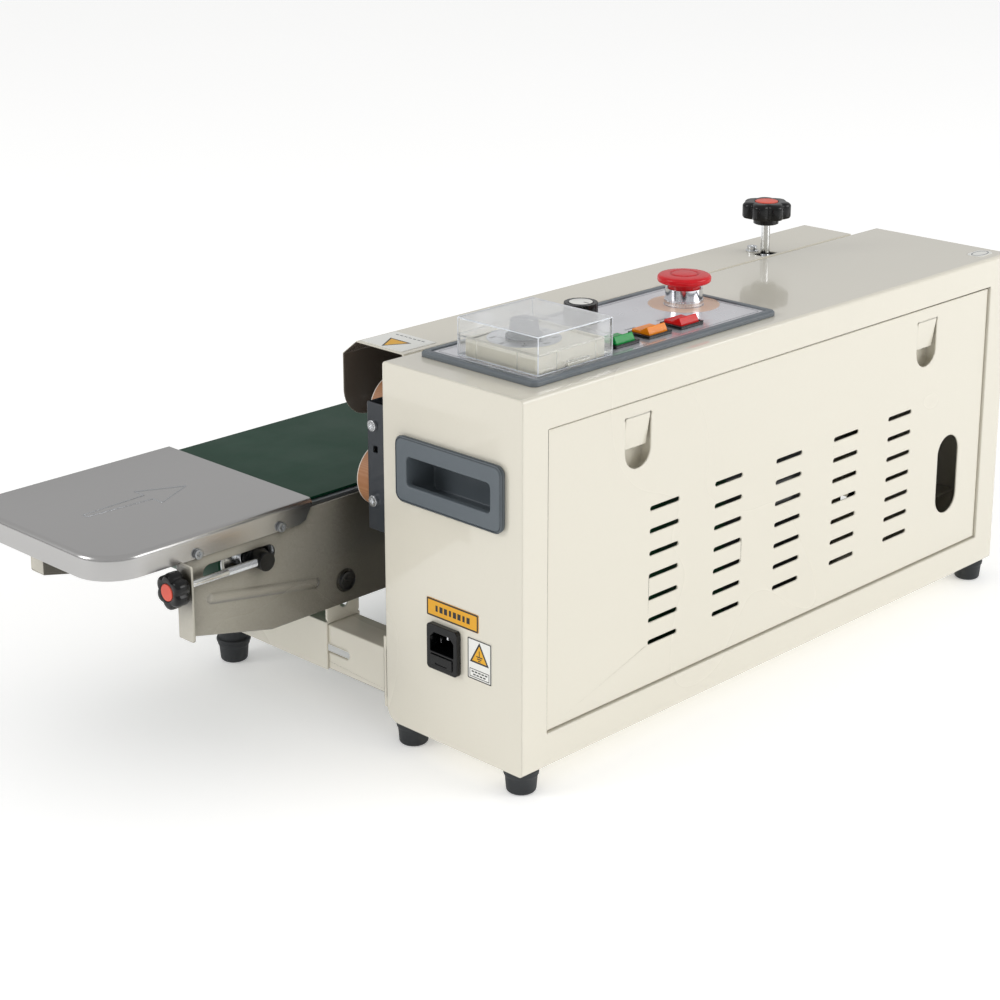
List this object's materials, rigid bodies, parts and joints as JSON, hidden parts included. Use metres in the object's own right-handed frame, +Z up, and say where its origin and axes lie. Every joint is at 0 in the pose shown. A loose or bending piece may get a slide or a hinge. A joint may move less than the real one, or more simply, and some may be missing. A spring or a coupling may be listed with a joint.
{
  "type": "continuous band sealer",
  "caption": "Tabletop continuous band sealer with a belt conveyor, guarded sealing bands, top control panel and stop button.",
  "frame": {"origin": "on the bench plane, under the middle of the whole machine's bounding box", "axes": "+X along the machine towards its infeed end, +Y towards the vented rear panel, +Z up; the operator stands at -Y"},
  "size_m": [0.947, 0.3982, 0.3444],
  "materials": {
    "body_paint": "warm cream powder coat, fairly glossy",
    "handle_plastic": "blue-grey moulded plastic, fine texture",
    "black_plastic": "black moulded plastic, semi-gloss",
    "label_film": "printed yellow film",
    "bezel_plastic": "grey moulded plastic",
    "panel_foil": "brushed silver front plate",
    "controller_plastic": "cream instrument plastic",
    "clear_plastic": "clear acrylic with bright edges",
    "chrome": "bright chrome plating",
    "red_plastic": "red moulded plastic, slightly translucent",
    "green_lens": "green translucent lens",
    "amber_lens": "amber translucent lens",
    "red_lens": "red translucent lens",
    "zinc_steel": "bright zinc-plated steel",
    "dark_bracket": "dark blue-grey satin paint",
    "ptfe_band": "brown woven heat-resistant tape",
    "machined_aluminium": "turned and milled aluminium",
    "brass": "machined brass",
    "gear_nylon": "natural nylon",
    "steel_plate": "plain rolled steel plate",
    "motor_grey": "dark grey enamel",
    "board_green": "green circuit board laminate",
    "rubber": "black rubber, lightly worn",
    "belt_pvc": "dark green belt surface, satin",
    "stainless": "brushed stainless steel",
    "wheel_rubber": "dark silicone rubber"
  },
  "bodies": {
    "machine": {"main_housing": "body_paint", "rear_panel": "body_paint", "mechanism_plate": "steel_plate", "base_plate": "body_paint", "housing_feet": "rubber", "end_handles": "handle_plastic", "power_inlet": "black_plastic", "labels": "label_film", "panel_bezel": "bezel_plastic", "panel_plate": "panel_foil", "controller_base": "controller_plastic", "estop_collar": "chrome", "rocker_bezels": "black_plastic", "safety_guard": "body_paint", "housing_screws": "zinc_steel", "infeed_bracket": "dark_bracket", "upper_band": "ptfe_band", "lower_band": "ptfe_band", "idler_studs": "zinc_steel", "drive_motor": "motor_grey", "shaft_bearings": "zinc_steel", "heating_blocks": "brass", "cooling_blocks": "machined_aluminium", "pressure_bridge": "steel_plate", "control_board": "board_green", "support_arms": "body_paint"},
    "fuse_tray": {"fuse_drawer": "black_plastic"},
    "controller_cover": {"clear_cover": "clear_plastic"},
    "temperature_dial": {"temperature_knob": "handle_plastic"},
    "speed_dial": {"speed_knob": "black_plastic"},
    "stop_button": {"estop_button": "red_plastic"},
    "green_rocker": {"rocker_green": "green_lens"},
    "amber_rocker": {"rocker_amber": "amber_lens"},
    "red_rocker": {"rocker_red": "red_lens"},
    "pressure_plunger": {"pressure_cup": "zinc_steel", "pressure_spring": "zinc_steel"},
    "pressure_screw": {"pressure_knob": "black_plastic"},
    "emboss_slider": {"emboss_carriage": "steel_plate"},
    "upper_wheel": {"emboss_wheel": "zinc_steel"},
    "lower_wheel": {"backing_wheel": "wheel_rubber"},
    "lower_infeed_pulley": {"lower_idler": "machined_aluminium"},
    "upper_infeed_pulley": {"upper_idler": "machined_aluminium"},
    "lower_drive": {"lower_drive_pulley": "machined_aluminium", "lower_drive_gear": "gear_nylon"},
    "upper_drive": {"upper_drive_pulley": "machined_aluminium", "upper_drive_gear": "gear_nylon"},
    "motor_output": {"motor_gear": "brass"},
    "sliding_brackets": {"slide_brackets": "body_paint", "bracket_feet": "rubber"},
    "infeed_lock": {"lock_knob_infeed": "black_plastic"},
    "outfeed_lock": {"lock_knob_outfeed": "black_plastic"},
    "conveyor": {"side_plates": "body_paint", "belt_bed": "steel_plate", "conveyor_belt": "belt_pvc", "infeed_plate": "stainless"},
    "drive_drum": {"drive_roller": "wheel_rubber"},
    "tensioner": {"tension_blocks": "black_plastic"},
    "tail_drum": {"tail_roller": "zinc_steel"},
    "rear_tension_screw": {"tension_knob_rear": "black_plastic"},
    "front_tension_screw": {"tension_knob_front": "black_plastic"}
  },
  "joints": [
    {"name": "fuse_tray_slide", "type": "slide", "parent": "machine", "child": "fuse_tray", "axis": [1, 0, 0], "range_m": [0, 0.012]},
    {"name": "cover_hinge", "type": "hinge", "parent": "machine", "child": "controller_cover", "pos_m": [0.1925, 0.17809, 0.3058], "axis": [-1, 0, 0], "range_deg": [0, 100]},
    {"name": "temperature_turn", "type": "hinge", "parent": "machine", "child": "temperature_dial", "pos_m": [0.1975, 0.13109, 0.3215], "axis": [0, 0, 1], "range_deg": [0, 270]},
    {"name": "speed_turn", "type": "hinge", "parent": "machine", "child": "speed_dial", "pos_m": [0.1015, 0.09809, 0.3095], "axis": [0, 0, 1], "range_deg": [0, 270]},
    {"name": "stop_press", "type": "slide", "parent": "machine", "child": "stop_button", "axis": [0, 0, 1], "range_m": [-0.004, 0]},
    {"name": "green_rock", "type": "hinge", "parent": "machine", "child": "green_rocker", "pos_m": [0.1265, 0.15709, 0.3005], "axis": [1, 0, 0], "range_deg": [-28, 0]},
    {"name": "amber_rock", "type": "hinge", "parent": "machine", "child": "amber_rocker", "pos_m": [0.09, 0.15709, 0.3005], "axis": [1, 0, 0], "range_deg": [-28, 0]},
    {"name": "red_rock", "type": "hinge", "parent": "machine", "child": "red_rocker", "pos_m": [0.0535, 0.15709, 0.3005], "axis": [1, 0, 0], "range_deg": [-28, 0]},
    {"name": "pressure_turn", "type": "hinge", "parent": "pressure_plunger", "child": "pressure_screw", "pos_m": [-0.1855, 0.05009, 0.328], "axis": [0, 0, 1], "range_deg": [0, 900]},
    {"name": "pressure_lift", "type": "slide", "parent": "machine", "child": "pressure_plunger", "axis": [0, 0, 1], "range_m": [0, 0.0032], "deforming": ["pressure_spring"]},
    {"name": "emboss_lift", "type": "slide", "parent": "machine", "child": "emboss_slider", "axis": [0, 0, 1], "range_m": [0, 0.004], "stiffness_N_per_m": 800, "springref_m": -0.006},
    {"name": "upper_wheel_spin", "type": "hinge", "parent": "emboss_slider", "child": "upper_wheel", "pos_m": [-0.1855, 0.02709, 0.2414], "axis": [0, 1, 0], "continuous": true},
    {"name": "lower_wheel_spin", "type": "hinge", "parent": "machine", "child": "lower_wheel", "pos_m": [-0.1855, 0.02709, 0.2007], "axis": [0, 1, 0], "continuous": true},
    {"name": "lower_idler_spin", "type": "hinge", "parent": "machine", "child": "lower_infeed_pulley", "pos_m": [0.2355, 0.02709, 0.196], "axis": [0, 1, 0], "continuous": true},
    {"name": "upper_idler_spin", "type": "hinge", "parent": "machine", "child": "upper_infeed_pulley", "pos_m": [0.22157, 0.02709, 0.2461], "axis": [0, 1, 0], "continuous": true},
    {"name": "lower_drive_spin", "type": "hinge", "parent": "machine", "child": "lower_drive", "pos_m": [-0.1245, 0.02709, 0.196], "axis": [0, 1, 0], "continuous": true},
    {"name": "upper_drive_spin", "type": "hinge", "parent": "machine", "child": "upper_drive", "pos_m": [-0.13843, 0.02709, 0.2461], "axis": [0, 1, 0], "continuous": true},
    {"name": "motor_spin", "type": "hinge", "parent": "machine", "child": "motor_output", "pos_m": [-0.1245, 0.07109, 0.144], "axis": [0, 1, 0], "continuous": true},
    {"name": "bracket_slide", "type": "slide", "parent": "machine", "child": "sliding_brackets", "axis": [0, 1, 0], "range_m": [-0.035, 0.01]},
    {"name": "infeed_lock_turn", "type": "hinge", "parent": "sliding_brackets", "child": "infeed_lock", "pos_m": [0.2695, -0.11191, 0.055], "axis": [1, 0, 0], "range_deg": [0, 720]},
    {"name": "outfeed_lock_turn", "type": "hinge", "parent": "sliding_brackets", "child": "outfeed_lock", "pos_m": [-0.3345, -0.11191, 0.055], "axis": [-1, 0, 0], "range_deg": [0, 720]},
    {"name": "conveyor_height", "type": "slide", "parent": "sliding_brackets", "child": "conveyor", "axis": [0, 0, 1], "range_m": [-0.013, 0.01]},
    {"name": "drive_drum_spin", "type": "hinge", "parent": "conveyor", "child": "drive_drum", "pos_m": [-0.4025, -0.09241, 0.1487], "axis": [0, 1, 0], "continuous": true},
    {"name": "belt_slack", "type": "slide", "parent": "conveyor", "child": "tensioner", "axis": [-1, 0, 0], "range_m": [0, 0.004]},
    {"name": "tail_drum_spin", "type": "hinge", "parent": "tensioner", "child": "tail_drum", "pos_m": [0.3375, -0.09241, 0.1487], "axis": [0, 1, 0], "continuous": true},
    {"name": "rear_tension_turn", "type": "hinge", "parent": "conveyor", "child": "rear_tension_screw", "pos_m": [0.4085, 0.00159, 0.1487], "axis": [1, 0, 0], "range_deg": [0, 1152]},
    {"name": "front_tension_turn", "type": "hinge", "parent": "conveyor", "child": "front_tension_screw", "pos_m": [0.4085, -0.18641, 0.1487], "axis": [1, 0, 0], "range_deg": [0, 1152]}
  ],
  "couplings": [
    {"joint": "tail_drum_spin", "follows": "drive_drum_spin", "ratio": 1},
    {"joint": "lower_drive_spin", "follows": "drive_drum_spin", "ratio": 1.2267},
    {"joint": "upper_drive_spin", "follows": "drive_drum_spin", "ratio": -1.2267},
    {"joint": "lower_idler_spin", "follows": "drive_drum_spin", "ratio": 1.2267},
    {"joint": "upper_idler_spin", "follows": "drive_drum_spin", "ratio": -1.2267},
    {"joint": "motor_spin", "follows": "drive_drum_spin", "ratio": -1.2267},
    {"joint": "lower_wheel_spin", "follows": "drive_drum_spin", "ratio": 1.515},
    {"joint": "upper_wheel_spin", "follows": "drive_drum_spin", "ratio": -1.515},
    {"joint": "pressure_lift", "follows": "pressure_turn", "m_per_rad": 0.00019894},
    {"joint": "rear_tension_turn", "follows": "belt_slack", "rad_per_m": 5026.5},
    {"joint": "front_tension_turn", "follows": "belt_slack", "rad_per_m": 5026.5}
  ]
}
